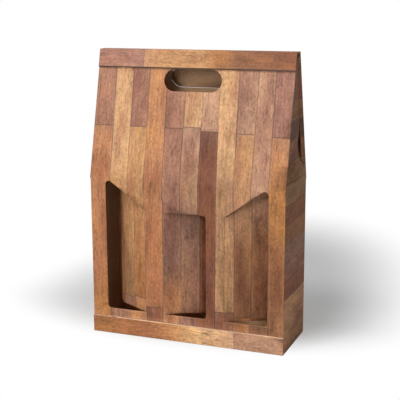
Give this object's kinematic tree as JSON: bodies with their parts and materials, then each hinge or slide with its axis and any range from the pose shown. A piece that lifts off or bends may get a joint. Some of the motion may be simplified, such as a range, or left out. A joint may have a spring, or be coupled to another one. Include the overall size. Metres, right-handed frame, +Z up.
{
  "type": "three bottle carry carton",
  "caption": "Folded corrugated carry carton for wine bottles, with flap-cut windows, a ridge hand hole and a hinged closing flap, printed as planks.",
  "frame": {"origin": "centre of the overall footprint, on the surface the carton stands on", "axes": "+X to the carton's right seen from the front, -Y out of the windowed front, +Z up"},
  "size_m": [0.255, 0.092, 0.36],
  "materials": {
    "board": "matte printed plank pattern outside, plain brown kraft inside and on the cut edges"
  },
  "bodies": {
    "carton": {"carton": "board"},
    "closing_flap": {"closing_flap": "board"},
    "grip_flap": {"grip_flap": "board"},
    "window_flap_left": {"window_flap_left": "board"},
    "window_flap_middle": {"window_flap_middle": "board"},
    "window_flap_right": {"window_flap_right": "board"}
  },
  "joints": [
    {"name": "closing_flap_hinge", "type": "hinge", "parent": "carton", "child": "closing_flap", "pos_m": [0, 0.008, 0.36], "axis": [-1, 0, 0], "range_deg": [0, 180]},
    {"name": "grip_flap_hinge", "type": "hinge", "parent": "carton", "child": "grip_flap", "pos_m": [0, 0.01341, 0.33767], "axis": [1, 0, 0], "range_deg": [-3, 87]},
    {"name": "window_flap_left_hinge", "type": "hinge", "parent": "carton", "child": "window_flap_left", "pos_m": [-0.0515, -0.0428, 0.1], "axis": [0, 0, -1], "range_deg": [-30, 60]},
    {"name": "window_flap_middle_hinge", "type": "hinge", "parent": "carton", "child": "window_flap_middle", "pos_m": [-0.0275, -0.0428, 0.1], "axis": [0, 0, 1], "range_deg": [-28, 62]},
    {"name": "window_flap_right_hinge", "type": "hinge", "parent": "carton", "child": "window_flap_right", "pos_m": [0.0515, -0.0428, 0.1], "axis": [0, 0, 1], "range_deg": [-25, 65]}
  ]
}
